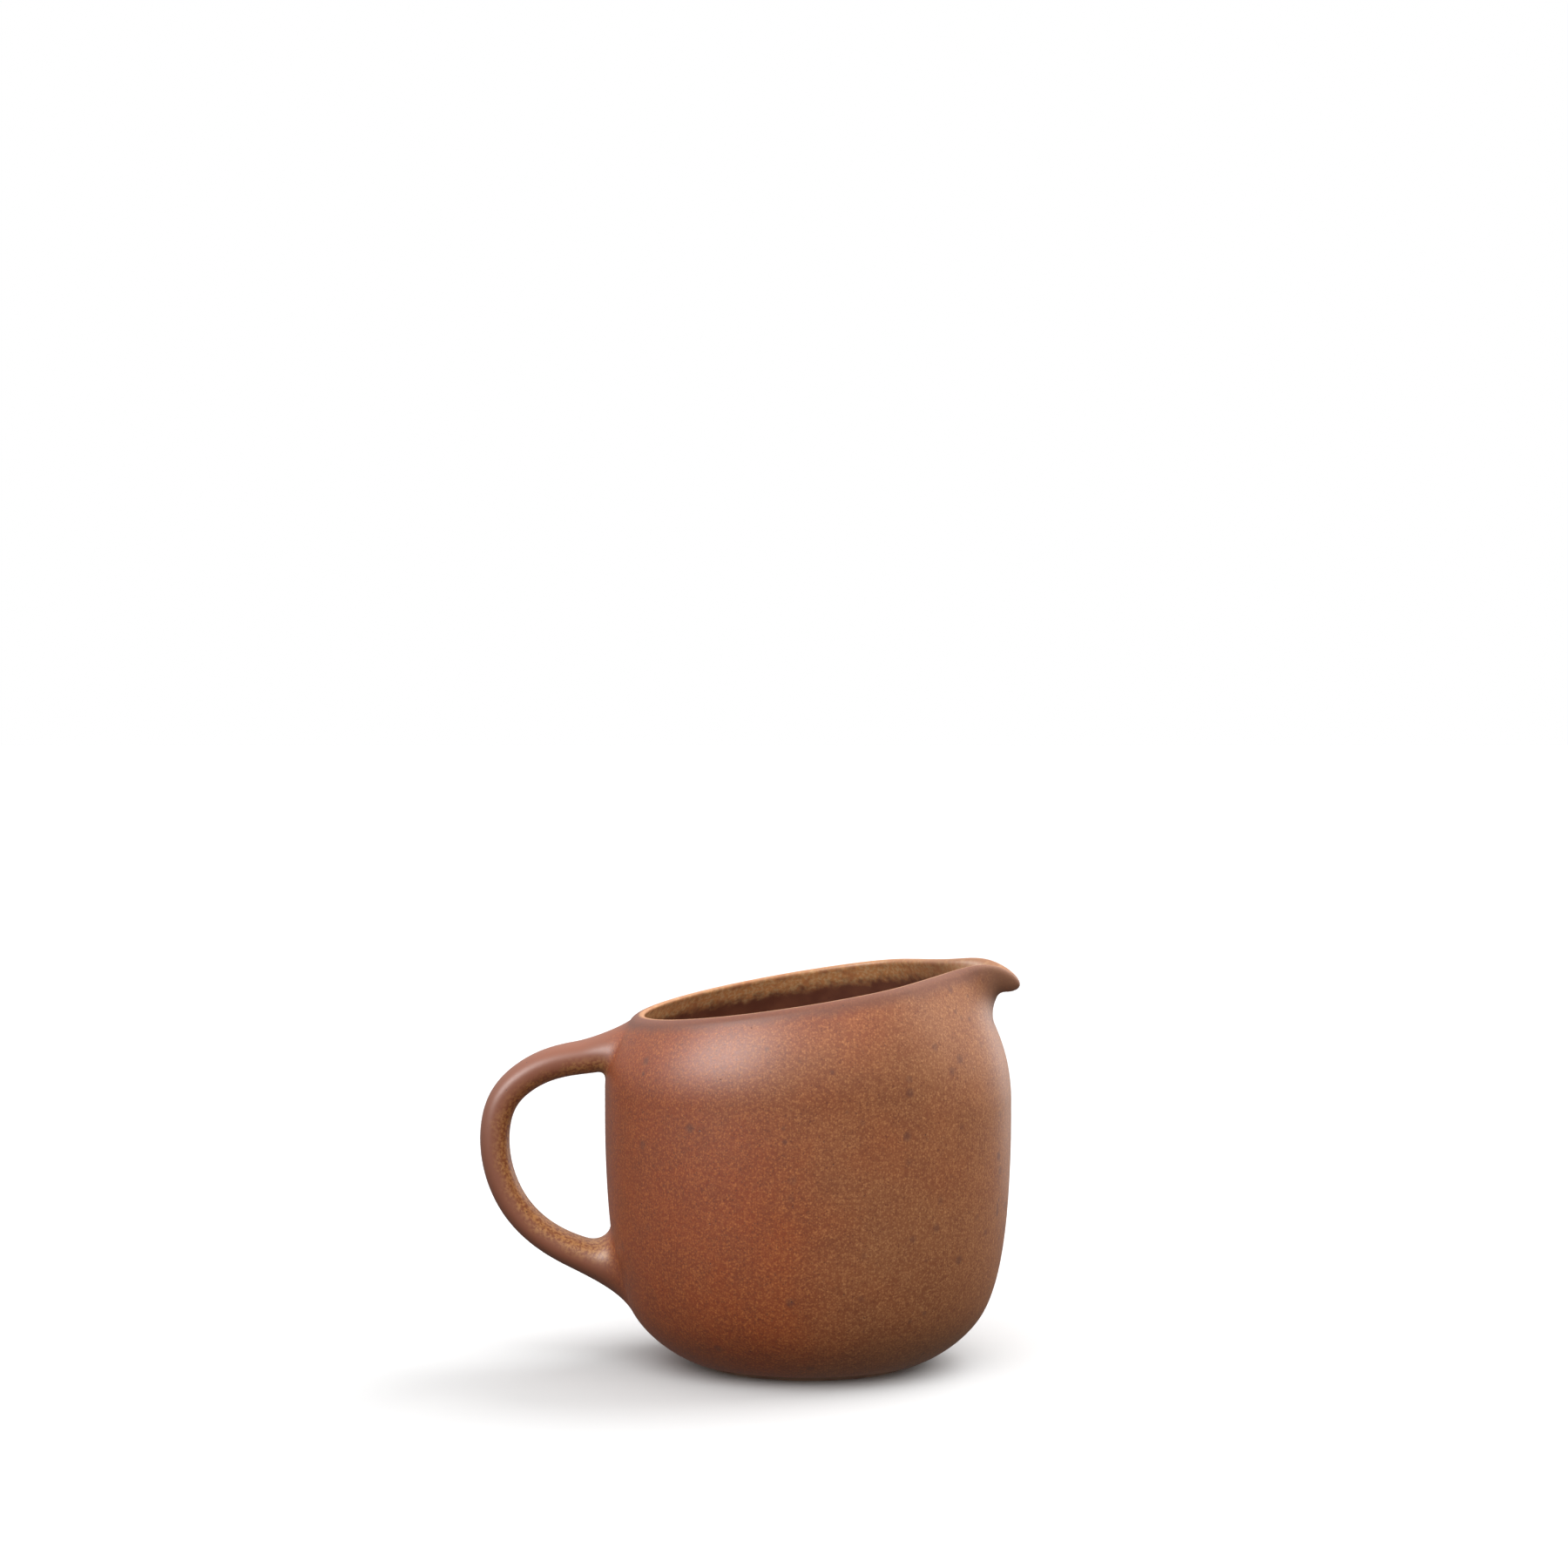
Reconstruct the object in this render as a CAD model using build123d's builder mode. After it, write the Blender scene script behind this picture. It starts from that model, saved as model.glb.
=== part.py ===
from build123d import *
import os
from math import cos, exp, hypot, radians, sin

# A small glazed stoneware pitcher, in millimetres.
# Origin: centre of the foot, on the surface it stands on.  +Z up, spout on +X, handle on -X.
# It is built as a potter builds it: a thrown vessel with a pulled spout, a pulled handle,
# two clay lutes that join the handle on, and the glaze coats over the clay.

# ---- driving dimensions -------------------------------------------------------------------
BELLY_RADIUS = 45.6
GLAZE = 0.35            # thickness of every glaze coat
WALL = 3.3              # vessel wall at the belly, glaze included
RIM_WALL = 2.9          # vessel wall at the rim, glaze included

# Outer profile of the vessel below the shoulder: radius, height.
LOWER_PROFILE = [
    (23.5, 0.0),
    (26.9, 1.2),
    (30.9, 3.2),
    (35.3, 6.5),
    (39.15, 11.0),
    (41.8, 17.0),
    (43.65, 25.0),
    (44.9, 36.0),
    (45.5, 48.0),
]
FOOT_FLARE = (1, 0.33)  # way in which that profile leaves the foot
SHOULDER_HEIGHT = 55.0  # level from which the sections start to tilt
RIM_HEIGHT = 84.7       # height of the slanted rim plane on the vessel's axis
RIM_SLOPE = 0.158       # rise of that plane towards the spout
RIM_RADIUS = 38.7
SHOULDER_START = 0.3    # share of the rise at which the wall starts to turn in
SHOULDER_POWER = 2.1

PINCH = 4.0             # how far the rim is squeezed in on both sides of the spout
PINCH_HALF_ANGLE = 54.0
PINCH_START = 0.12      # share of the rise at which the squeeze starts
PINCH_RISE = 0.75       # and over which it grows to its full depth
BEAK_REACH = 13.1       # how far the spout is pulled out of the squeezed rim
BEAK_HALF_ANGLE = 10.6
BEAK_POWER = 1.35
BEAK_NOSE = 2.0         # degrees over which the nose of the spout is rounded
BEAK_START = 0.58       # share of the rise at which the outside of the spout starts
BEAK_CURL = 0.7         # how much sooner than a plain square curve the spout leaves the wall
DROOP = 6.1             # how far the nose hangs below the rim plane
DROOP_HALF_ANGLE = 6.6
DROOP_START = 0.74      # share of the rise at which the nose starts to hang
DROOP_RISE = 0.22       # and over which it comes to hang fully
INNER_REACH = 12.6
INNER_DROOP = 3.7
INNER_DROOP_RISE = 0.26

# Crest of the rim past the middle of the vessel, seen from the side: X, Z.
CREST_BEND = 30.0       # X up to which the crest is straight
SPOUT_CREST = [
    (38.0, 90.15),
    (43.0, 89.0),
    (48.0, 87.0),
]
SPOUT_CREST_END = (80.0, 63.0)
SPOUT_CREST_FALL = (1, -0.9)

CAVITY_FLOOR = 4.4
FLOOR_CORNER = 3.0      # run of the curve that joins the cavity's floor to its wall
FLOOR_CORNER_RISE = 0.8  # and its height
RECESS_RADIUS = 20.5
RECESS_DEPTH = 1.6
BARE_FOOT_HEIGHT = 1.5  # the outside glaze is wiped off below this
RIM_ROUNDING = 0.8

# Handle: centre line from the upper root round to the lower root, in the XZ plane.
# It starts and ends inside the vessel's wall, where the wall cuts it off.
HANDLE_LINE = [
    (-37.5, 71.2),
    (-44.0, 69.7),
    (-50.8, 68.6),
    (-57.4, 67.2),
    (-63.2, 64.4),
    (-68.2, 59.4),
    (-70.4, 50.7),
    (-69.2, 42.1),
    (-65.4, 34.4),
    (-59.4, 28.5),
    (-51.7, 24.4),
    (-45.0, 22.1),
    (-38.5, 20.0),
]
# Strap of the handle: place along that line, thickness in its plane, width across it.
STRAP_SECTIONS = [
    (0.0, 7.6, 11.8),
    (0.14, 7.0, 11.0),
    (0.27, 6.4, 10.4),
    (0.4, 6.0, 10.0),
    (0.51, 5.8, 9.8),
    (0.63, 5.6, 9.8),
    (0.71, 5.65, 10.0),
    (0.78, 5.9, 10.3),
    (0.85, 6.7, 10.8),
    (0.92, 7.4, 11.6),
    (1.0, 8.0, 12.4),
]
# A lute: distance from the buried end of the handle's line, thickness, width.
UPPER_LUTE_SECTIONS = [
    (0.0, 12.0, 17.0),
    (3.2, 12.4, 17.6),
    (5.0, 11.2, 16.4),
    (7.0, 9.5, 14.2),
    (9.6, 8.2, 12.4),
    (13.0, 7.3, 11.4),
]
LOWER_LUTE_SECTIONS = [
    (0.0, 13.0, 17.0),
    (2.2, 13.4, 18.2),
    (4.4, 12.6, 17.4),
    (7.0, 10.6, 15.0),
    (10.0, 8.6, 12.6),
    (13.6, 7.1, 11.2),
]

# Directions, in degrees from the spout, at which every vessel section has a point.
HALF_TURN = [0, 3, 6, 9, 12.5, 17, 22.5, 29, 36.5, 45, 55, 67, 82, 100, 120, 140, 160, 180]
DIRECTIONS = HALF_TURN + [360 - angle for angle in reversed(HALF_TURN[1:-1])]
LOWER_STEPS = 14        # level sections below the shoulder
OUTER_STEPS = 16        # shaped sections from the shoulder to the rim, outside
INNER_STEPS = 12        # and inside


# ---- the vessel's form --------------------------------------------------------------------
def ramp(value):
    """Smooth step from 0 to 1."""
    value = max(0.0, min(1.0, value))
    return value * value * (3 - 2 * value)


def from_spout(direction):
    """Angle between a direction and the spout, either way round."""
    return min(direction, 360 - direction)


def squeezed_radius(rise, direction):
    """Radius of the outer wall at a share of the rise, without the pulled nose of the spout."""
    turn_in = max(0.0, (rise - SHOULDER_START) / (1 - SHOULDER_START)) ** SHOULDER_POWER
    radius = BELLY_RADIUS - (BELLY_RADIUS - RIM_RADIUS) * turn_in
    squeeze = PINCH * ramp((rise - PINCH_START) / PINCH_RISE)
    return radius - squeeze * exp(-((from_spout(direction) / PINCH_HALF_ANGLE) ** 6))


def nose(direction):
    """Shape of the spout in plan: 1 at its nose, falling to 0 at its sides."""
    angle = hypot(from_spout(direction), BEAK_NOSE) - BEAK_NOSE
    return exp(-((angle / BEAK_HALF_ANGLE) ** BEAK_POWER))


def droop(direction):
    return exp(-((from_spout(direction) / DROOP_HALF_ANGLE) ** 2))


def height_on_plane(rise, x):
    """Height of the fan of section planes that turns from level to the slant of the rim."""
    return SHOULDER_HEIGHT + rise * (RIM_HEIGHT - SHOULDER_HEIGHT + RIM_SLOPE * x)


def outer_point(rise, direction):
    """Radius and height of the glazed outside at a share of the rise."""
    share = max(0.0, (rise - BEAK_START) / (1 - BEAK_START))
    pulled = BEAK_REACH * share**2 * (1 + BEAK_CURL * (1 - share))
    radius = squeezed_radius(rise, direction) + pulled * nose(direction)
    hang = DROOP * ramp((rise - DROOP_START) / DROOP_RISE) * droop(direction)
    return radius, height_on_plane(rise, radius * cos(radians(direction))) - hang


def inner_point(rise, direction, thinned):
    """Radius and height of the inside; thinned takes the glaze off the wall's thickness."""
    wall = WALL + (RIM_WALL - WALL) * rise - thinned
    share = max(0.0, (rise - BEAK_START) / (1 - BEAK_START))
    radius = squeezed_radius(rise, direction) - wall + INNER_REACH * share**2 * nose(direction)
    hang = INNER_DROOP * ramp((rise - DROOP_START) / INNER_DROOP_RISE) * droop(direction)
    return radius, height_on_plane(rise, radius * cos(radians(direction))) - hang


with BuildLine(Plane.XZ) as lower_line:
    Spline(*LOWER_PROFILE, (BELLY_RADIUS, SHOULDER_HEIGHT), tangents=[FOOT_FLARE, (0, 1)])


def lower_point(share, inset):
    """Radius and height on the profile below the shoulder, moved in square to it."""
    place = lower_line.edges()[0] @ share
    along = lower_line.edges()[0] % share
    return place.X - inset * along.Z, place.Z + inset * along.X


def section(point_at):
    """Closed smooth curve through the points that point_at gives, as radius and height."""
    points = []
    for direction in DIRECTIONS:
        radius, height = point_at(direction)
        points.append((radius * cos(radians(direction)), radius * sin(radians(direction)), height))
    turns = [direction / 360 for direction in DIRECTIONS] + [1.0]
    return Wire([Edge.make_spline(points, periodic=True, parameters=turns)])


def level_section(radius, height):
    return section(lambda direction: (radius, height))


def top_section(point_at):
    """Flat closing section, parallel to the rim and clear above it."""
    clearance = 3.5

    def point(direction):
        radius = point_at(direction)[0]
        x = radius * cos(radians(direction))
        return radius, RIM_HEIGHT + clearance + RIM_SLOPE * x

    return section(point)


def above_rim(lowered=0.0):
    """Everything above the crest of the rim: straight slant, then down over the nose."""
    far, top = SPOUT_CREST_END[0], 1.4 * RIM_HEIGHT
    start = (-far, RIM_HEIGHT - RIM_SLOPE * far - lowered)
    turn = (CREST_BEND, RIM_HEIGHT + RIM_SLOPE * CREST_BEND - lowered)
    over_spout = [(x, height - lowered) for x, height in SPOUT_CREST]
    end = (far, SPOUT_CREST_END[1] - lowered)
    with BuildPart() as tool:
        with BuildSketch(Plane.XZ):
            with BuildLine():
                Line(start, turn)
                Spline(turn, *over_spout, end, tangents=[(1, RIM_SLOPE), SPOUT_CREST_FALL])
                Polyline(end, (far, top), (-far, top), start)
            make_face()
        extrude(amount=far, both=True)
    return tool.part


def two_lofts(lower, upper):
    """One solid from the round part below the shoulder and the shaped part above it."""
    with BuildPart() as form:
        add(Solid.make_loft(lower))
        add(Solid.make_loft(upper))
    return form.part


def outside_form(inset):
    """Solid inside the vessel's outer surface, up to the rim, moved in by inset."""

    def at(rise):
        def point(direction):
            radius, height = outer_point(rise, direction)
            return radius - inset, height

        return point

    foot = level_section(LOWER_PROFILE[0][0], 0.0)
    shares = [(step + 1) / LOWER_STEPS for step in range(LOWER_STEPS - 1)]
    lower = [foot] + [level_section(*lower_point(share, inset)) for share in shares]
    upper = [section(at(step / OUTER_STEPS)) for step in range(OUTER_STEPS + 1)]
    cut = above_rim(inset)
    with BuildPart() as form:
        add(two_lofts(lower + upper[:1], upper + [top_section(at(1.0))]))
        add(cut, mode=Mode.SUBTRACT)
    return form.part


def cavity_form(thinned, floor):
    """Solid that fills the vessel's hollow, past the rim, for a wall thinned by that much."""

    def at(rise):
        return lambda direction: inner_point(rise, direction, thinned)

    shares = [(step + 1) / LOWER_STEPS for step in range(LOWER_STEPS - 1)]
    profile = [lower_point(share, WALL - thinned) for share in shares]
    profile = [point for point in profile if point[1] > floor + FLOOR_CORNER_RISE]
    lower = [level_section(profile[0][0] - FLOOR_CORNER, floor)]
    lower += [level_section(*point) for point in profile]
    upper = [section(at(step / INNER_STEPS)) for step in range(INNER_STEPS + 1)]
    return two_lofts(lower + upper[:1], upper + [top_section(at(1.0))])


def vessel(outside, cavity, rounding):
    """Wall of the vessel, with the two edges of its rim rounded."""
    lowest_rim_face = RIM_HEIGHT - 5.0
    largest_rim_face = 20.0 * BELLY_RADIUS
    shortest_rim_edge = 3.0 * WALL
    with BuildPart() as form:
        add(outside)
        add(cavity, mode=Mode.SUBTRACT)
        rim = form.faces().filter_by(lambda face: face.center().Z > lowest_rim_face)
        rim = rim.filter_by(lambda face: face.area < largest_rim_face)
        edges = rim.edges().filter_by(lambda edge: edge.length > shortest_rim_edge)
        fillet(edges, rounding)
    return form.part


clay_outside = outside_form(GLAZE)
clay_vessel = vessel(clay_outside, cavity_form(GLAZE, CAVITY_FLOOR), RIM_ROUNDING - GLAZE)
glazed_vessel = vessel(outside_form(0.0), cavity_form(0.0, CAVITY_FLOOR + GLAZE), RIM_ROUNDING)
mid_wall = cavity_form(WALL / 2, CAVITY_FLOOR - WALL / 3)


# ---- clay: vessel with its spout and foot ring ---------------------------------------------
with BuildPart() as stoneware_body:
    add(clay_vessel)
    with BuildSketch(Plane.XY):
        Circle(RECESS_RADIUS)
    extrude(amount=RECESS_DEPTH, mode=Mode.SUBTRACT)


# ---- clay: handle and the two lutes that join it on ---------------------------------------
def handle_line():
    with BuildLine(Plane.XZ) as line:
        Spline(*HANDLE_LINE)
    return line.edges()[0]


def across(line, place):
    """Plane square to the handle's line, with its x axis across the handle."""
    return Plane(origin=line @ place, x_dir=(0, 1, 0), z_dir=line % place)


def strap(extra):
    """The handle's strap, of oval section, grown all round by extra."""
    line = handle_line()
    with BuildPart() as form:
        for place, thickness, width in STRAP_SECTIONS:
            with BuildSketch(across(line, place)):
                Ellipse(width / 2 + extra, thickness / 2 + extra)
        loft()
    return form.part


def lute(sections, from_end, extra):
    """Flared collar of clay round one root of the handle, grown by extra."""
    line = handle_line()
    cut = above_rim(GLAZE - extra)
    with BuildPart() as form:
        for distance, thickness, width in sections:
            share = distance / line.length
            place = 1 - share if from_end else share
            with BuildSketch(across(line, place)):
                Ellipse(width / 2 + extra, thickness / 2 + extra)
        loft()
        add(cut, mode=Mode.SUBTRACT)
    return form.part


with BuildPart() as handle:
    add(strap(0.0))
    add(clay_outside, mode=Mode.SUBTRACT)

with BuildPart() as upper_handle_lute:
    add(lute(UPPER_LUTE_SECTIONS, from_end=False, extra=0.0))
    add(clay_outside, mode=Mode.SUBTRACT)
    add(handle.part, mode=Mode.SUBTRACT)

with BuildPart() as lower_handle_lute:
    add(lute(LOWER_LUTE_SECTIONS, from_end=True, extra=0.0))
    add(clay_outside, mode=Mode.SUBTRACT)
    add(handle.part, mode=Mode.SUBTRACT)


# ---- glaze coats --------------------------------------------------------------------------
with BuildPart() as coated_handle:
    add(strap(GLAZE))
    add(lute(UPPER_LUTE_SECTIONS, from_end=False, extra=GLAZE))
    add(lute(LOWER_LUTE_SECTIONS, from_end=True, extra=GLAZE))
    add(clay_outside, mode=Mode.SUBTRACT)

with BuildPart() as handle_glaze:
    add(coated_handle.part)
    add(handle.part, mode=Mode.SUBTRACT)
    add(upper_handle_lute.part, mode=Mode.SUBTRACT)
    add(lower_handle_lute.part, mode=Mode.SUBTRACT)

with BuildPart() as exterior_glaze:
    add(glazed_vessel)
    add(clay_vessel, mode=Mode.SUBTRACT)
    add(mid_wall, mode=Mode.SUBTRACT)
    add(coated_handle.part, mode=Mode.SUBTRACT)
    with BuildSketch(Plane.XY):
        Circle(BELLY_RADIUS)
    extrude(amount=BARE_FOOT_HEIGHT, mode=Mode.SUBTRACT)

with BuildPart() as interior_glaze:
    add(glazed_vessel)
    add(clay_vessel, mode=Mode.SUBTRACT)
    add(mid_wall, mode=Mode.INTERSECT)

with BuildPart() as base_recess_glaze:
    with BuildSketch(Plane.XY.offset(RECESS_DEPTH - GLAZE)):
        Circle(RECESS_RADIUS)
    extrude(amount=GLAZE)


# ---- labels and files ---------------------------------------------------------------------
os.makedirs("parts", exist_ok=True)
PIECES = {
    "stoneware_body": stoneware_body,
    "handle": handle,
    "upper_handle_lute": upper_handle_lute,
    "lower_handle_lute": lower_handle_lute,
    "exterior_glaze": exterior_glaze,
    "interior_glaze": interior_glaze,
    "handle_glaze": handle_glaze,
    "base_recess_glaze": base_recess_glaze,
}
for name, piece in PIECES.items():
    piece.part.label = name
    export_step(piece.part, f"parts/{name}.step")
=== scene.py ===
from math import pi, radians

import bpy
import numpy as np
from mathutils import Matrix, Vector


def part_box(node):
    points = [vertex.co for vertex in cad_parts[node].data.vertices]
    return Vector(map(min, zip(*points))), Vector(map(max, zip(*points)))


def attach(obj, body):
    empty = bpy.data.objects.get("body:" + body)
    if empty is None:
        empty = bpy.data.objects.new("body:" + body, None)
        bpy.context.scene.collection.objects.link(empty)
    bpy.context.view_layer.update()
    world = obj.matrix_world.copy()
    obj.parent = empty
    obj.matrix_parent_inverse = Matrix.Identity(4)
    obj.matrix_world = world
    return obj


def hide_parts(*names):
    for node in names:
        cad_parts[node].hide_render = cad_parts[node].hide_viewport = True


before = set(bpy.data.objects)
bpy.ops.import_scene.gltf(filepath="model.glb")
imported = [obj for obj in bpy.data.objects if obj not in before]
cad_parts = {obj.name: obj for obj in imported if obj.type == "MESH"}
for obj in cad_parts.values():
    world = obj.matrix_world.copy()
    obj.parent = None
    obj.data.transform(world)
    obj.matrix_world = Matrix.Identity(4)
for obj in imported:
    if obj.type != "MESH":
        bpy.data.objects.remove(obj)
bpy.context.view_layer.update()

# A small glazed stoneware pitcher.  The form is worked out here in millimetres, in the frame's
# own axes (+Z up, spout on +X, handle on -X, foot centre at the origin), and every mesh is
# scaled to metres when it is made.
MM = 0.001

# ---- driving dimensions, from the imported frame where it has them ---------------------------
GLAZE_LOW = np.array(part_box("exterior_glaze")[0]) / MM
RECESS_LOW, RECESS_HIGH = (np.array(corner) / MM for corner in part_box("base_recess_glaze"))
BELLY_RADIUS = 45.6
BARE_FOOT_HEIGHT = GLAZE_LOW[2]
RECESS_RADIUS = (RECESS_HIGH[1] - RECESS_LOW[1]) / 2
RECESS_DEPTH = RECESS_HIGH[2]
GLAZE = RECESS_HIGH[2] - RECESS_LOW[2]

# Outer profile of the vessel below the shoulder: radius, height.
LOWER_PROFILE = [
    (23.5, 0.0),
    (26.9, 1.2),
    (30.9, 3.2),
    (35.3, 6.5),
    (39.15, 11.0),
    (41.8, 17.0),
    (43.65, 25.0),
    (44.9, 36.0),
    (45.5, 48.0),
]
FOOT_FLARE = 0.33        # slope at which the wall leaves the foot ring
FOOT_INWARD = (-0.31, 0.95)  # unit step square to that slope, into the clay
FOOT_ROUND = 0.45        # radius of the foot ring's inner edge
RING_MARGIN = 0.2        # what is left between the flat of the foot ring and its outer edge
RECESS_EDGE = (0.35, 0.25)  # reach and rise of the rounded edge of the glaze in the recess
BARE_START = 0.08        # height of the lowest row of the bare foot
GLAZE_BEAD = 0.4         # share of its thickness by which the glaze bulges down over the foot
SHOULDER_HEIGHT = 55.0
RIM_HEIGHT = 84.7
RIM_SLOPE = 0.158
RIM_RADIUS = 38.7
SHOULDER_START = 0.3     # share of the rise at which the wall starts to turn in
SHOULDER_POWER = 2.1
WALL = 3.3
RIM_WALL = 2.9
CREST_HEIGHT = 1.45      # height of the rounded top of the wall
CREST_DROP = 0.35        # how far the top stays below the rim plane round the spout
CREST_DROP_HALF_ANGLE = 45.0
NOSE_ROUNDING = 1.7      # extra height of the rounded edge on the nose of the spout
CAVITY_FLOOR = 4.75
FLOOR_CORNER = 3.0       # width of the rounded corner of the cavity's floor
FLOOR_CORNER_RISE = 0.8
FLOOR_CORNER_PULL = 0.9  # how far in from the wall the corner's curve is pulled

PINCH = 4.0
PINCH_HALF_ANGLE = 54.0
PINCH_START = 0.12
PINCH_RISE = 0.75
BEAK_REACH = 13.9
BEAK_HALF_ANGLE = 10.6
BEAK_POWER = 1.35
BEAK_NOSE = 2.0
BEAK_START = 0.58
BEAK_CURL = 0.7          # how much sooner than evenly the spout reaches out
INNER_REACH = 14.2
DROOP = 5.8
INNER_DROOP = 1.2
DROOP_HALF_ANGLE = 6.6
DROOP_START = 0.74
DROOP_RISE = 0.22
INNER_DROOP_RISE = 0.26

# Handle: centre line from the upper root round to the lower root, in the XZ plane.
HANDLE_LINE = [
    (-37.5, 71.2),
    (-44.0, 69.7),
    (-50.8, 68.6),
    (-57.4, 67.2),
    (-63.2, 64.4),
    (-68.2, 59.4),
    (-70.4, 50.7),
    (-69.2, 42.1),
    (-65.4, 34.4),
    (-59.4, 28.5),
    (-51.7, 24.4),
    (-45.0, 22.1),
    (-38.5, 20.0),
]
ROUNDNESS = 2.3          # power of the strap's section; 2 would be an ellipse
STRAP_THICKNESS = 6.15
STRAP_WIDTH = 10.4
UPPER_THICKENING, UPPER_THICKENING_RUN = 2.2, 26.0
UPPER_WIDENING, UPPER_WIDENING_RUN = 2.1, 22.0
LOWER_THICKENING, LOWER_WIDENING, LOWER_SWELL_RUN = 2.4, 2.5, 15.0
CORE_START, CORE_END = 5.5, 5.0   # from either end of the handle's line to the clay strap
CORE_TAPER = 1.5         # how much thinner, all round, the bare clay strap gets inside the lutes
CORE_TAPER_RUN = 8.0
LUTE_STOP = 2.0          # how far short of the clay strap's ends the hollows of the lutes stop
LUTE_BEVEL = 1.0         # length of the edge with which a lute ends on the strap

# ---- mesh density --------------------------------------------------------------------------
COLUMNS = 320            # round the vessel
LOWER_ROWS = 52          # foot to shoulder
UPPER_ROWS = 58          # shoulder to rim
CREST_ROWS = 13          # over the rim
FLOOR_ROWS = 22          # centre of the cavity's floor to its corner
CORNER_ROWS = 7
STRAP_COLUMNS = 72       # round the handle
STRAP_ROWS = 130         # along the handle
BLEND_ROWS = 26          # from the handle's strap out on to the wall
CORE_ROWS = 12           # along the hollow of each lute
THIN_ROWS = 3            # rows at the thin edge of a root that hold glaze and no clay
COLUMN_CROWDING = 0.62   # how much closer together the columns stand at the spout
ROW_CROWDING = 0.9       # power that spaces the rows from the shoulder to the rim
PROFILE_STEPS = 2400     # along the fine line of the profile below the shoulder
BARE_STEP = 9            # the bare foot has a row at every so many of those steps
POLE_RADIUS = 0.4        # radius of the innermost ring of a disc
CEILING_ROWS = 20        # clay in the recess, centre to edge
DISC_ROWS = 24           # glaze in the recess, centre to edge
RING_ROWS = 7            # across the foot ring
ROUND_ROWS = 6           # round a small rounded edge


# ---- smooth lines --------------------------------------------------------------------------
def smooth_line(points, start=None, end=None):
    """Smooth curve through points: a function from distance to place, and the length."""
    points = np.array(points, dtype=float)
    steps = np.linalg.norm(np.diff(points, axis=0), axis=1)
    knots = np.concatenate([[0.0], np.cumsum(steps)])
    count = len(points)
    matrix = np.zeros((count, count))
    right = np.zeros_like(points)
    for i in range(1, count - 1):
        before, after = steps[i - 1], steps[i]
        matrix[i, i - 1:i + 2] = after, 2 * (before + after), before
        right[i] = 3 * (after * (points[i] - points[i - 1]) / before
                        + before * (points[i + 1] - points[i]) / after)
    for row, beside, tangent in ((0, 1, start), (-1, -2, end)):
        matrix[row, row] = 1
        if tangent is None:
            matrix[row, beside] = 0.5
            right[row] = 1.5 * np.diff(points, axis=0)[row] / steps[row]
        else:
            right[row] = np.array(tangent) / np.linalg.norm(tangent)
    slopes = np.linalg.solve(matrix, right)

    def place(distance):
        distance = np.clip(np.asarray(distance, dtype=float), 0.0, knots[-1])
        i = np.clip(np.searchsorted(knots, distance, side="right") - 1, 0, count - 2)
        step = steps[i][..., None]
        t = ((distance - knots[i]) / steps[i])[..., None]
        return ((1 + 2 * t) * (1 - t) ** 2 * points[i] + t * (1 - t) ** 2 * step * slopes[i]
                + t * t * (3 - 2 * t) * points[i + 1] - t * t * (1 - t) * step * slopes[i + 1])

    return place, knots[-1]


def ramp(value):
    """Smooth step from 0 to 1."""
    value = np.clip(value, 0.0, 1.0)
    return value * value * (3 - 2 * value)


def unit(vectors):
    """Vectors of the same direction and length 1."""
    return vectors / np.maximum(np.linalg.norm(vectors, axis=-1, keepdims=True), 1e-9)


def bezier(start, start_handle, end_handle, end, count):
    """Points on a cubic curve, both ends included, as rows."""
    t = np.linspace(0, 1, count).reshape((-1,) + (1,) * np.ndim(start))
    return ((1 - t) ** 3 * start + 3 * t * (1 - t) ** 2 * start_handle
            + 3 * t * t * (1 - t) * end_handle + t**3 * end)


# ---- the vessel's form ---------------------------------------------------------------------
def from_spout(direction):
    """Angle between a direction and the spout, either way round, in degrees."""
    direction = np.mod(direction, 360)
    return np.minimum(direction, 360 - direction)


def squeezed_radius(rise, direction):
    """Radius of the outer wall at a share of the rise, without the pulled nose of the spout."""
    turn_in = np.clip((rise - SHOULDER_START) / (1 - SHOULDER_START), 0, None) ** SHOULDER_POWER
    squeeze = PINCH * ramp((rise - PINCH_START) / PINCH_RISE)
    sides = np.exp(-((from_spout(direction) / PINCH_HALF_ANGLE) ** 6))
    return BELLY_RADIUS - (BELLY_RADIUS - RIM_RADIUS) * turn_in - squeeze * sides


def nose(direction):
    """Shape of the spout in plan: 1 at its nose, falling to 0 at its sides."""
    angle = np.hypot(from_spout(direction), BEAK_NOSE) - BEAK_NOSE
    return np.exp(-((angle / BEAK_HALF_ANGLE) ** BEAK_POWER))


def droop(direction):
    """Share of the spout's droop in a direction: 1 at its nose, falling to 0 beside it."""
    return np.exp(-((from_spout(direction) / DROOP_HALF_ANGLE) ** 2))


def height_on_plane(rise, x):
    """Height of the fan of section planes that turns from level to the slant of the rim."""
    return SHOULDER_HEIGHT + rise * (RIM_HEIGHT - SHOULDER_HEIGHT + RIM_SLOPE * x)


def outer_point(rise, direction):
    """Radius and height of the glazed outside at a share of the rise."""
    share = np.clip((rise - BEAK_START) / (1 - BEAK_START), 0, None)
    pulled = BEAK_REACH * share**2 * (1 + BEAK_CURL - BEAK_CURL * share)
    radius = squeezed_radius(rise, direction) + pulled * nose(direction)
    hang = DROOP * ramp((rise - DROOP_START) / DROOP_RISE) * droop(direction)
    height = height_on_plane(rise, radius * np.cos(np.radians(direction))) - hang
    return np.stack([radius, height], axis=-1)


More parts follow.
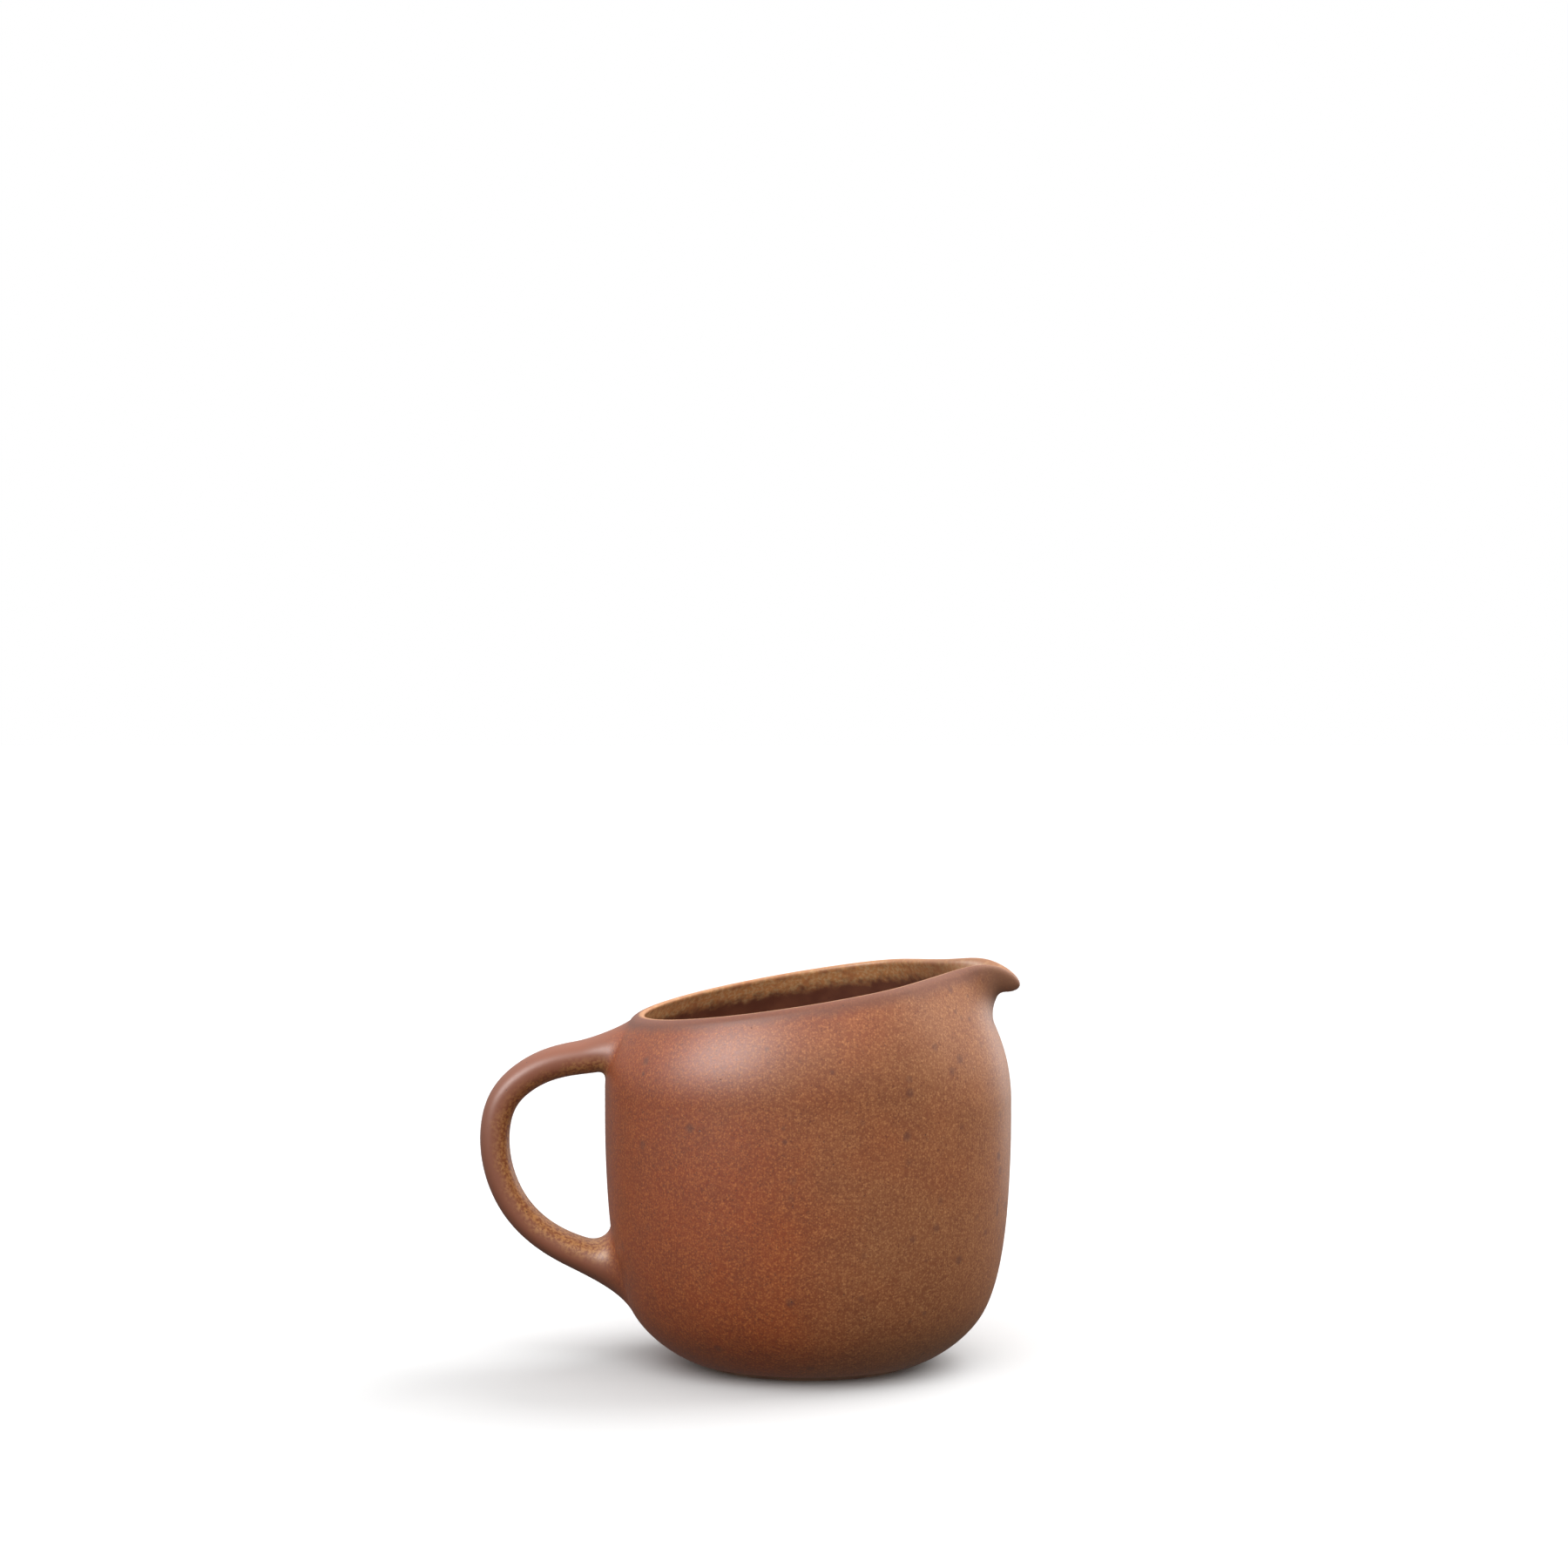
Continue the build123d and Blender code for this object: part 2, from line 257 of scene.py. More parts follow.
def inner_point(rise, direction):
    """Radius and height of the glazed inside at a share of the rise."""
    wall = WALL + (RIM_WALL - WALL) * rise
    share = np.clip((rise - BEAK_START) / (1 - BEAK_START), 0, None)
    radius = squeezed_radius(rise, direction) - wall + INNER_REACH * share**2 * nose(direction)
    hang = INNER_DROOP * ramp((rise - DROOP_START) / INNER_DROOP_RISE) * droop(direction)
    height = height_on_plane(rise, radius * np.cos(np.radians(direction))) - hang
    return np.stack([radius, height], axis=-1)


def column_directions():
    """Directions of the mesh's columns, in degrees, closer together round the spout."""
    even = np.linspace(0, 1, COLUMNS, endpoint=False)
    return 360 * (even - COLUMN_CROWDING * np.sin(2 * pi * even) / (2 * pi))


DIRECTIONS = column_directions()
lower_place, LOWER_LENGTH = smooth_line(
    LOWER_PROFILE + [(BELLY_RADIUS, SHOULDER_HEIGHT)], start=(1, FOOT_FLARE), end=(0, 1))


def lower_profile(inset):
    """Fine polyline of the profile below the shoulder, moved in square to it."""
    profile = lower_place(np.linspace(0, LOWER_LENGTH, PROFILE_STEPS))
    along = unit(np.gradient(profile, axis=0))
    return profile - inset * np.stack([along[:, 1], -along[:, 0]], axis=-1)


def all_round(points):
    """Radius and height points as rows that are the same in every direction."""
    return np.repeat(np.asarray(points, dtype=float)[:, None, :], COLUMNS, axis=1)


def lower_rows(inset, start_height):
    """Level rows from a height up to just below the shoulder."""
    profile = lower_profile(inset)
    start = int(np.argmax(profile[:, 1] >= start_height))
    picks = np.linspace(start, len(profile) - 1, LOWER_ROWS + 1).astype(int)[:-1]
    return all_round(profile[picks])


def glazed_meridian():
    """Rows of radius and height from the wiped foot over the rim to the cavity's floor.

    Returns the rows, and the number of the row on top of the rim.
    """
    direction = DIRECTIONS[None, :]
    rim_x = RIM_RADIUS * np.cos(np.radians(direction))
    rounding = CREST_HEIGHT + NOSE_ROUNDING * droop(direction)
    drop = CREST_DROP * np.exp(-((from_spout(direction) / CREST_DROP_HALF_ANGLE) ** 4))
    below_crest = (rounding + drop) / (RIM_HEIGHT - SHOULDER_HEIGHT + RIM_SLOPE * rim_x)
    rises = (1 - below_crest) * np.linspace(0, 1, UPPER_ROWS)[:, None] ** ROW_CROWDING
    outer = outer_point(rises, direction)
    inner = inner_point(rises, direction)
    reach = (rounding * 4 / 3)[0, :, None]
    crest = bezier(outer[-1], outer[-1] + unit(outer[-1] - outer[-2]) * reach,
                   inner[-1] + unit(inner[-1] - inner[-2]) * reach, inner[-1], CREST_ROWS + 2)
    outside = np.concatenate([lower_rows(0.0, BARE_FOOT_HEIGHT), outer])
    inside_low = lower_rows(WALL, CAVITY_FLOOR + FLOOR_CORNER_RISE)
    corner = inside_low[0, 0]
    floor_edge = np.array([corner[0] - FLOOR_CORNER, CAVITY_FLOOR])
    corner_handle = np.array([corner[0] - FLOOR_CORNER_PULL, CAVITY_FLOOR])
    bend = bezier(floor_edge, (floor_edge + 2 * corner_handle) / 3,
                  (corner + 2 * corner_handle) / 3, corner, CORNER_ROWS)[:-1]
    floor_radii = np.linspace(POLE_RADIUS, floor_edge[0], FLOOR_ROWS)[:-1]
    floor = np.stack([floor_radii, np.full_like(floor_radii, CAVITY_FLOOR)], axis=-1)
    inside = np.concatenate([all_round(floor), all_round(bend), inside_low, inner])
    rows = np.concatenate([outside, crest[1:-1], inside[::-1]])
    return rows, len(outside) + CREST_ROWS // 2


def in_space(rows):
    """Rows of radius and height turned into points."""
    angle = np.radians(DIRECTIONS)[None, :]
    radius, height = rows[..., 0], rows[..., 1]
    return np.stack([radius * np.cos(angle), radius * np.sin(angle), height], axis=-1)


def moved_in(rows, distance):
    """Rows of radius and height moved into the wall, square to the meridian."""
    along = unit(np.gradient(rows, axis=0))
    return rows - distance * np.stack([along[..., 1], -along[..., 0]], axis=-1)


# ---- mesh making ---------------------------------------------------------------------------
def grid_faces(row_count, column_count, loop):
    """Quads of a grid whose columns close on themselves, and whose rows do too if loop."""
    row = np.arange(row_count if loop else row_count - 1)[:, None]
    column = np.arange(column_count)[None, :]
    after = (row + 1) % row_count
    beside = (column + 1) % column_count
    corners = [row * column_count + column, row * column_count + beside,
               after * column_count + beside, after * column_count + column]
    return np.stack(np.broadcast_arrays(*corners), axis=-1).reshape(-1, 4).tolist()


def closed_grid(points, loop):
    """Vertices and faces of a closed solid: rows that form a ring, or rows with end caps."""
    row_count, column_count = points.shape[:2]
    verts = points.reshape(-1, 3)
    faces = grid_faces(row_count, column_count, loop)
    if not loop:
        first, last = len(verts), len(verts) + 1
        verts = np.concatenate([verts, [points[0].mean(axis=0)], [points[-1].mean(axis=0)]])
        base = (row_count - 1) * column_count
        for column in range(column_count):
            beside = (column + 1) % column_count
            faces.append([first, beside, column])
            faces.append([last, base + column, base + beside])
    return verts, faces


def grid_normals(points):
    """Outward normals of a grid whose columns run round the solid and close."""
    along = np.gradient(points, axis=0)
    padded = np.concatenate([points[:, -1:], points, points[:, :1]], axis=1)
    around = padded[:, 2:] - padded[:, :-2]
    return unit(np.cross(around, along))


def new_piece(name, node, points, loop, marks, material, normals=None):
    """Closed piece from rows of millimetre points, which stands in for a CAD node."""
    verts, faces = closed_grid(points, loop)
    mesh = bpy.data.meshes.new(name)
    mesh.from_pydata((verts * MM).tolist(), [], faces)
    for mark, values in marks.items():
        values = np.broadcast_to(values, points.shape[:2]).reshape(-1)
        if not loop:
            values = np.concatenate([values, [values[0], values[-1]]])
        layer = mesh.attributes.new(mark, "FLOAT", "POINT")
        layer.data.foreach_set("value", np.ascontiguousarray(values, dtype=np.float32))
    mesh.polygons.foreach_set("use_smooth", [True] * len(mesh.polygons))
    mesh.materials.append(material)
    mesh.update()
    if normals is not None:
        shading = np.empty(len(verts) * 3)
        mesh.vertex_normals.foreach_get("vector", shading)
        shading = shading.reshape(-1, 3)
        shading[:normals.shape[0] * normals.shape[1]] = normals.reshape(-1, 3)
        mesh.normals_split_custom_set_from_vertices(shading.tolist())
    piece = bpy.data.objects.new(name, mesh)
    bpy.context.scene.collection.objects.link(piece)
    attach(piece, "root")
    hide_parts(node)
    return piece


# ---- shader nodes --------------------------------------------------------------------------
GLOSS = 0.6              # specular level of clay and glaze alike
NOISE_ROUGHNESS = 0.55
SPOT_CORE = 0.35         # share of a spot's radius that has its full strength


def srgb(red, green, blue):
    """Linear colour from the usual 0 to 255 numbers."""
    def linear(value):
        value /= 255
        return value / 12.92 if value <= 0.04045 else ((value + 0.055) / 1.055) ** 2.4

    return (linear(red), linear(green), linear(blue), 1.0)


class Shading:
    """One material's nodes, added by short calls that each return an output socket."""

    def __init__(self, name):
        self.material = bpy.data.materials.new(name)
        self.material.use_nodes = True
        self.tree = self.material.node_tree
        self.tree.nodes.clear()
        position = self.node("ShaderNodeTexCoord", {}, "Object")
        self.place = self.node("ShaderNodeVectorMath", {0: position, "Scale": 1 / MM},
                               "Vector", operation="SCALE")

    def node(self, kind, inputs, output, **settings):
        """Add a node; inputs take a value or another node's socket.  Returns one output."""
        node = self.tree.nodes.new(kind)
        for key, value in settings.items():
            setattr(node, key, value)
        for key, value in inputs.items():
            if isinstance(value, bpy.types.NodeSocket):
                self.tree.links.new(value, node.inputs[key])
            else:
                node.inputs[key].default_value = value
        return node.outputs[output]

    def math(self, operation, first, second=0.0):
        """Sum, product or other operation on two values."""
        return self.node("ShaderNodeMath", {0: first, 1: second}, "Value", operation=operation)

    def between(self, value, low, high):
        """0 below low, 1 above high, smooth between; low may be the larger of the two."""
        return self.node("ShaderNodeMapRange", {"Value": value, "From Min": low, "From Max": high},
                         "Result", interpolation_type="SMOOTHSTEP")

    def mix(self, factor, first, second):
        """Colour between two colours."""
        return self.node("ShaderNodeMix", {0: factor, 6: first, 7: second}, 2, data_type="RGBA")

    def mark(self, name):
        """Value that the mesh carries at each point."""
        return self.node("ShaderNodeAttribute", {}, "Fac", attribute_name=name)

    def moved(self, shift):
        """Place in millimetres, moved so that two patterns of one size don't coincide."""
        return self.node("ShaderNodeVectorMath", {0: self.place, 1: (shift, 2 * shift, -shift)},
                         "Vector", operation="ADD")

    def noise(self, size, detail, shift=0.0):
        """Noise whose features are about size millimetres across."""
        return self.node("ShaderNodeTexNoise",
                         {"Vector": self.moved(shift), "Scale": 1 / size,
                          "Detail": detail, "Roughness": NOISE_ROUGHNESS}, 0)

    def cells(self, size, shift, output="Distance"):
        """Distance in millimetres from random points about size apart, or their colour."""
        result = self.node("ShaderNodeTexVoronoi",
                           {"Vector": self.moved(shift), "Scale": 1 / size, "Randomness": 1.0},
                           output)
        return self.math("MULTIPLY", result, size) if output == "Distance" else result

    def spots(self, size, radius, share, shift):
        """Round soft spots, one in some of the cells: 1 at their centres."""
        distance = self.cells(size, shift)
        chance = self.node("ShaderNodeSeparateColor",
                           {0: self.cells(size, shift, "Color")}, "Red")
        chosen = self.math("LESS_THAN", chance, share)
        return self.math("MULTIPLY", self.between(distance, radius, radius * SPOT_CORE), chosen)

    def emit(self, shader):
        """Make a shader the material's surface."""
        output = self.tree.nodes.new("ShaderNodeOutputMaterial")
        self.tree.links.new(shader, output.inputs["Surface"])
        return self.material

    def finish(self, colour, roughness, height):
        """Principled surface with a height in millimetres as its bump."""
        bump = self.node("ShaderNodeBump", {"Height": height, "Distance": MM}, "Normal")
        inputs = {"Base Color": colour, "Roughness": roughness, "Normal": bump,
                  "Specular IOR Level": GLOSS}
        return self.emit(self.node("ShaderNodeBsdfPrincipled", inputs, "BSDF"))


# ---- glaze and clay ------------------------------------------------------------------------
# Tones of the glaze: rust towards the handle, brown towards the spout.
RUST, BROWN = srgb(151, 68, 30), srgb(146, 88, 52)
RUST_FLECK, BROWN_FLECK = srgb(199, 114, 54), srgb(192, 134, 86)
CLOUD = srgb(122, 62, 36)
DARK_GRAIN = srgb(108, 54, 34)
SOFT_SPOT = srgb(100, 58, 46)
PIT = srgb(58, 34, 27)
BELOW_RIM, UNDER_NOSE = srgb(118, 70, 52), srgb(150, 106, 82)
STRAP = srgb(148, 88, 63)
GOLD_GROUND, GOLD_GRAIN = srgb(140, 80, 48), srgb(192, 136, 82)
# The tans are partly painted light: the glaze's own tan, made lighter against the shade inside the
# rim.
TAN_GROUND, TAN_GRAIN, TAN_PATCH = srgb(234, 166, 106), srgb(248, 202, 144), srgb(208, 136, 88)
# The first tone here is painted shade: darker than the glaze, it tones down the lit top of the
# rim.
CREST_PAINTED_SHADE, SPOUT_CREST_TONE = srgb(176, 118, 82), srgb(158, 108, 80)
# Painted shade inside the mouth: a darker brown over the same glaze, varied in cloudy patches.
INSIDE_SHADE_DARK, INSIDE_SHADE_PALE = srgb(114, 66, 49), srgb(130, 80, 58)

# Tones of the bare clay.
CLAY_PALE, CLAY_TOASTED, CLAY_GRIT = srgb(146, 104, 76), srgb(126, 84, 58), srgb(74, 48, 36)

# Where tones fade into one another, from none to all.  The first five are ways from the top
# of the rim in millimetres, negative inside; the others are places along X in millimetres.
RIM_BAND = (5.4, 2.6)
NOSE_BAND = (11.0, 6.0)
GLAZE_BREAK = (0.7, -0.1)
# where the painted shade on the rim's top fades in
CREST_SHADE_BAND = (-2.8, -0.6)
# where the painted shade inside the mouth fades in
INSIDE_SHADE_EDGE = (-3.4, -7.2)
NOSE_PLACE = (35.0, 42.0)
SPOUT_PLACE = (16.0, 38.0)


class Glaze(Shading):
    """Satin iron-red glaze that breaks to tan on the rim, with a darker brown painted inside as
    shade.

    It reads three marks from the mesh: from_crest, the way from the top of the rim in
    millimetres, negative inside; coat, 1 on the handle's strap; gap_side, 1 on the side
    of the strap that faces the pitcher.
    """

    def __init__(self, name):
        super().__init__(name)
        self.from_crest = self.mark("from_crest")
        self.x_place = self.node("ShaderNodeSeparateXYZ", {0: self.place}, "X")
        self.cloud = self.noise(7.0, 3.0, 11.0)
        self.grain = self.noise(0.75, 4.0, 23.0)
        self.dust = self.noise(0.4, 2.0, 31.0)

    def scaled(self, value, factor):
        """A value times a factor."""
        return self.math("MULTIPLY", value, factor)

    def wavering(self, size, detail, shift, reach):
        """Noise about zero, in millimetres, that makes an edge uneven."""
        return self.scaled(self.math("SUBTRACT", self.noise(size, detail, shift), 0.5), reach)

    def toward_spout(self):
        """0 on the handle's side, 1 on the spout's, with a cloudy edge between."""
        even = self.math("ADD", self.scaled(self.x_place, 0.011), 0.42)
        cloudy = self.math("ADD", even, self.scaled(self.noise(34.0, 3.0), 0.9))
        return self.between(cloudy, 0.55, 1.3)

    def flecks(self):
        """Fine pale flecks: soft grain and three sizes of dots."""
        soft = self.math("ADD", self.grain, self.scaled(self.dust, 0.6))
        soft = self.between(soft, 0.7, 1.1)
        dots = self.math("MAXIMUM", self.spots(0.62, 0.3, 0.5, 37.0),
                         self.spots(0.8, 0.34, 0.4, 41.0))
        dots = self.math("MAXIMUM", dots, self.scaled(self.spots(0.47, 0.26, 0.5, 53.0), 0.8))
        return self.math("ADD", self.scaled(soft, 0.5), self.scaled(dots, 0.5))

    def soft_spots(self, toward_spout):
        """Dark spots a millimetre or more across, in loose groups and more near the spout."""
        spots = self.math("MAXIMUM", self.spots(5.2, 1.5, 0.34, 5.0),
                          self.spots(3.4, 0.8, 0.1, 9.0))
        groups = self.math("ADD", self.noise(15.0, 2.0, 13.0), self.scaled(toward_spout, 0.22))
        return self.math("MULTIPLY", spots, self.between(groups, 0.44, 0.62))

    def wall_tone(self):
        """The vessel's wall: rust or brown ground, flecks, dark grain and soft spots."""
        toward_spout = self.toward_spout()
        ground = self.mix(toward_spout, RUST, BROWN)
        clouded = self.scaled(self.between(self.cloud, 0.62, 0.3), 0.35)
        ground = self.mix(clouded, ground, CLOUD)
        tone = self.mix(self.flecks(), ground, self.mix(toward_spout, RUST_FLECK, BROWN_FLECK))
        dark = self.math("MAXIMUM", self.between(self.noise(0.7, 3.0, 47.0), 0.58, 0.75),
                         self.spots(0.55, 0.24, 0.25, 59.0))
        tone = self.mix(self.scaled(dark, 0.7), tone, DARK_GRAIN)
        return self.mix(self.scaled(self.soft_spots(toward_spout), 0.55), tone, SOFT_SPOT)

    def with_rim_band(self, tone):
        """Below the rim and under the spout's nose the glaze runs thin and smooth."""
        below_rim = self.math("ADD", self.from_crest, self.wavering(5.0, 2.0, 61.0, 3.0))
        at_nose = self.between(self.x_place, *NOSE_PLACE)
        under_nose = self.math("MULTIPLY", at_nose, self.between(below_rim, *NOSE_BAND))
        band = self.math("MAXIMUM", self.between(below_rim, *RIM_BAND), under_nose)
        return self.mix(self.scaled(band, 0.75), tone, self.mix(at_nose, BELOW_RIM, UNDER_NOSE))

    def with_strap(self, tone):
        """The handle's strap: smooth purple-brown outside, golden flecks towards the gap."""
        grain = self.math("ADD", self.grain, self.scaled(self.dust, 0.3))
        gold = self.mix(self.between(grain, 0.5, 0.8), GOLD_GROUND, GOLD_GRAIN)
        uneven = self.scaled(self.math("SUBTRACT", self.cloud, 0.5), 0.7)
        gold_here = self.between(self.math("ADD", self.mark("gap_side"), uneven), 0.4, 0.82)
        return self.mix(self.mark("coat"), tone, self.mix(gold_here, STRAP, gold))

    def with_rim(self, tone):
        """Over the crest a darker painted shade; inside, tan partly lightened as painted light;
        further in, painted shade.
        """
        ragged = self.wavering(1.6, 4.0, 71.0, 4.2)
        inward = self.math("ADD", self.from_crest, ragged)
        # Tan, partly painted light: lighter than the glaze's own tan, against the shade inside the
        # rim.
        tan = self.mix(self.between(self.grain, 0.42, 0.62), TAN_GROUND, TAN_GRAIN)
        patches = self.between(self.noise(2.8, 2.0, 19.0), 0.52, 0.7)
        tan = self.mix(self.scaled(patches, 0.7), tan, TAN_PATCH)
        # Painted shade on the rim's top, which faces the light.
        tan = self.mix(self.scaled(self.between(inward, *CREST_SHADE_BAND), 0.75), tan, CREST_PAINTED_SHADE)
        at_spout = self.scaled(self.between(self.x_place, *SPOUT_PLACE), 0.7)
        tan = self.mix(at_spout, tan, SPOUT_CREST_TONE)
        # Painted shade inside the mouth, over the same glaze as outside.
        inside_shade = self.mix(self.between(self.cloud, 0.35, 0.65), INSIDE_SHADE_DARK, INSIDE_SHADE_PALE)
        rim = self.mix(self.between(inward, *INSIDE_SHADE_EDGE), tan, inside_shade)
        edge = self.math("ADD", self.from_crest, self.scaled(ragged, 0.12))
        return self.mix(self.between(edge, *GLAZE_BREAK), tone, rim)

    def build(self):
        """The finished material."""
        colour = self.with_rim(self.with_strap(self.with_rim_band(self.wall_tone())))
        pits = self.spots(2.2, 0.24, 0.14, 83.0)
        colour = self.mix(self.scaled(pits, 0.7), colour, PIT)
        roughness = self.math("ADD", 0.4, self.scaled(self.grain, 0.14))
        height = self.scaled(self.noise(1.5, 2.0, 91.0), 0.02)
        height = self.math("ADD", height, self.scaled(self.grain, 0.008))
        height = self.math("SUBTRACT", height, self.scaled(pits, 0.05))
        return self.finish(colour, roughness, height)


def clay_material(name):
    """Bare iron-bearing stoneware: matt, gritty, a little toasted."""
    s = Shading(name)
    toasted = s.between(s.noise(6.0, 3.0, 3.0), 0.35, 0.65)
    colour = s.mix(toasted, CLAY_PALE, CLAY_TOASTED)
    grit = s.spots(1.1, 0.2, 0.5, 17.0)
    colour = s.mix(s.math("MULTIPLY", grit, 0.7), colour, CLAY_GRIT)
    sand = s.noise(0.35, 3.0, 29.0)
    roughness = s.math("ADD", 0.78, s.math("MULTIPLY", sand, 0.15))
    height = s.math("ADD", s.math("MULTIPLY", sand, 0.05), s.math("MULTIPLY", grit, 0.03))
    return s.finish(colour, roughness, height)


# ---- handle --------------------------------------------------------------------------------
TANGENT_STEP = 0.05      # along the handle's line, to find its direction
LEAVE_STEP = 0.2         # along the strap, to find the direction in which a root leaves it
LANDING_STEP = 0.02      # of a root's scale, to find the direction in which it lands
WALL_SEARCH_STEPS = 16
handle_place, HANDLE_LENGTH = smooth_line(HANDLE_LINE)
STRAP_ANGLES = np.linspace(0, 2 * pi, STRAP_COLUMNS, endpoint=False)


def strap_point(distance, inset=0.0):
    """Points round the strap, glaze included, at a distance for each column; moved in by inset."""
    to_end = HANDLE_LENGTH - distance
    lower_swell = np.exp(-((to_end / LOWER_SWELL_RUN) ** 2))
    thickness = (STRAP_THICKNESS + UPPER_THICKENING * np.exp(-distance / UPPER_THICKENING_RUN)
                 + LOWER_THICKENING * lower_swell)
    width = (STRAP_WIDTH + UPPER_WIDENING * np.exp(-distance / UPPER_WIDENING_RUN)
             + LOWER_WIDENING * lower_swell)
    centre = handle_place(distance)
    along = unit(handle_place(distance + TANGENT_STEP) - handle_place(distance - TANGENT_STEP))
    outward, across = (np.sign(turn) * np.abs(turn) ** (2 / ROUNDNESS)
                       for turn in (np.cos(STRAP_ANGLES), np.sin(STRAP_ANGLES)))
    reach = outward * (thickness / 2 - inset)
    x = centre[..., 0] + along[..., 1] * reach
    z = centre[..., 1] - along[..., 0] * reach
    return np.stack([x, across * (width / 2 - inset), z], axis=-1)


PROFILE = lower_profile(0.0)


def wall_point(across, height, depth=0.0):
    """Point on the vessel's outside on the handle's side, sunk by a depth."""
    radius = np.full_like(height, BELLY_RADIUS)
    for _ in range(WALL_SEARCH_STEPS):
        x = -np.sqrt(radius**2 - across**2)
        rise = (height - SHOULDER_HEIGHT) / (RIM_HEIGHT - SHOULDER_HEIGHT + RIM_SLOPE * x)
        upper = squeezed_radius(rise, np.degrees(np.arctan2(across, x)))
        lower = np.interp(height, PROFILE[:, 1], PROFILE[:, 0])
        radius = np.where(height < SHOULDER_HEIGHT, lower, upper)
    sunk = 1 - depth / radius
    return np.stack([x * sunk, across * sunk, height], axis=-1)


# Each root, where a pair is a value for the strap's outer side and one for its gap side:
# leave       distance along the handle's line at which the strap starts to swell
# land        height on the wall that the swell reaches
# half_width  half of the swell's width on the wall
# off, on     how straight the swell leaves the strap and lands on the wall
# sunk        how deep under the wall's surface the swell ends
UPPER_ROOT = {
    "leave": (14.5, 10.6),
    "land": (77.6, 61.9),
    "half_width": 9.8,
    "off": (0.33, 0.62),
    "on": (0.12, 0.45),
    "sunk": (0.28, 0.04),
}
LOWER_ROOT = {
    "leave": (HANDLE_LENGTH - 15.5, HANDLE_LENGTH - 13.5),
    "land": (10.6, 31.2),
    "half_width": 12.5,
    "off": (0.5, 0.5),
    "on": (0.28, 0.35),
    "sunk": (0.04, 0.04),
}


def by_side(pair):
    """Value for each column, from one for the strap's outer side and one for its gap side."""
    outer, gap = pair
    return (outer + gap) / 2 + (outer - gap) / 2 * np.cos(STRAP_ANGLES)


def root_blend(root, towards_wall):
    """Rows from the strap out on to the wall, tangent to both."""
    leave = by_side(root["leave"])
    start = strap_point(leave)
    start_way = unit(strap_point(leave + LEAVE_STEP * towards_wall) - start)

    def footprint(scale):
        """Where the root lands on the wall, at a scale about its own middle."""
        middle = sum(root["land"]) / 2
        height = middle + (by_side(root["land"]) - middle) * scale
        across = root["half_width"] * scale * np.sin(STRAP_ANGLES)
        return wall_point(across, height, by_side(root["sunk"]))

    end = footprint(1.0)
    end_way = unit(footprint(1 + LANDING_STEP) - footprint(1 - LANDING_STEP))
    gap = np.linalg.norm(end - start, axis=-1, keepdims=True)
    return bezier(start, start + start_way * gap * by_side(root["off"])[:, None],
                  end - end_way * gap * by_side(root["on"])[:, None], end, BLEND_ROWS)


def strap_rows(first, last, count):
    """Rows along the strap between two distances for each column."""
    share = np.linspace(0, 1, count)[:, None]
    return np.stack([strap_point(first + (last - first) * t) for t in share])


def core_rows(first, last, count):
    """Rows along the bare clay strap, which tapers where the lutes cover it."""
    share = np.linspace(0, 1, count)[:, None]
    rows = []
    for distance in first + (last - first) * share:
        from_upper = ramp((UPPER_ROOT["leave"][0] - distance) / CORE_TAPER_RUN)
        from_lower = ramp((distance - LOWER_ROOT["leave"][0]) / CORE_TAPER_RUN)
        rows.append(strap_point(distance, GLAZE + CORE_TAPER * np.maximum(from_upper, from_lower)))
    return np.stack(rows)


# ---- pieces --------------------------------------------------------------------------------
FAR_FROM_CREST = 60.0    # mark of glaze that has nothing to do with the rim
COAT_FADE = 0.75         # share of a root over which the strap's glaze takes over
HANDLE_CREST_OFFSET, HANDLE_CREST_STRETCH = 2.3, 1.3   # turn a drop below the rim into the mark
QUARTER_TURN = np.linspace(0, pi / 2, ROUND_ROWS)[1:]

outer_glaze = Glaze("outer_glaze").build()
inner_glaze = Glaze("inner_glaze").build()
handle_coat = Glaze("handle_glaze").build()
bare_clay = clay_material("bare_stoneware")


def disc(first_radius, last_radius, height, count):
    """Radius and height points along a flat disc."""
    return [(radius, height) for radius in np.linspace(first_radius, last_radius, count)]


def foot_rows():
    """Rows below the glaze line: recess ceiling, recess wall, rounded foot ring, bare foot."""
    ceiling = disc(POLE_RADIUS, RECESS_RADIUS, RECESS_DEPTH, CEILING_ROWS)
    recess_wall = [(RECESS_RADIUS, height)
                   for height in np.linspace(RECESS_DEPTH, FOOT_ROUND, ROUND_ROWS)[1:]]
    inner_round = [(RECESS_RADIUS + FOOT_ROUND * (1 - np.cos(turn)),
                    FOOT_ROUND * (1 - np.sin(turn))) for turn in QUARTER_TURN]
    ring_edge = LOWER_PROFILE[0][0] - RING_MARGIN
    ring = disc(RECESS_RADIUS + FOOT_ROUND, ring_edge, 0.0, RING_ROWS)[1:]
    bare = lower_profile(0.0)
    bare = bare[(bare[:, 1] > BARE_START) & (bare[:, 1] < BARE_FOOT_HEIGHT)][::BARE_STEP]
    sunk = GLAZE * ramp(bare[:, 1] / BARE_FOOT_HEIGHT)
    bare = bare + sunk[:, None] * np.array(FOOT_INWARD)
    return all_round(np.concatenate([ceiling, recess_wall, inner_round, ring, bare]))


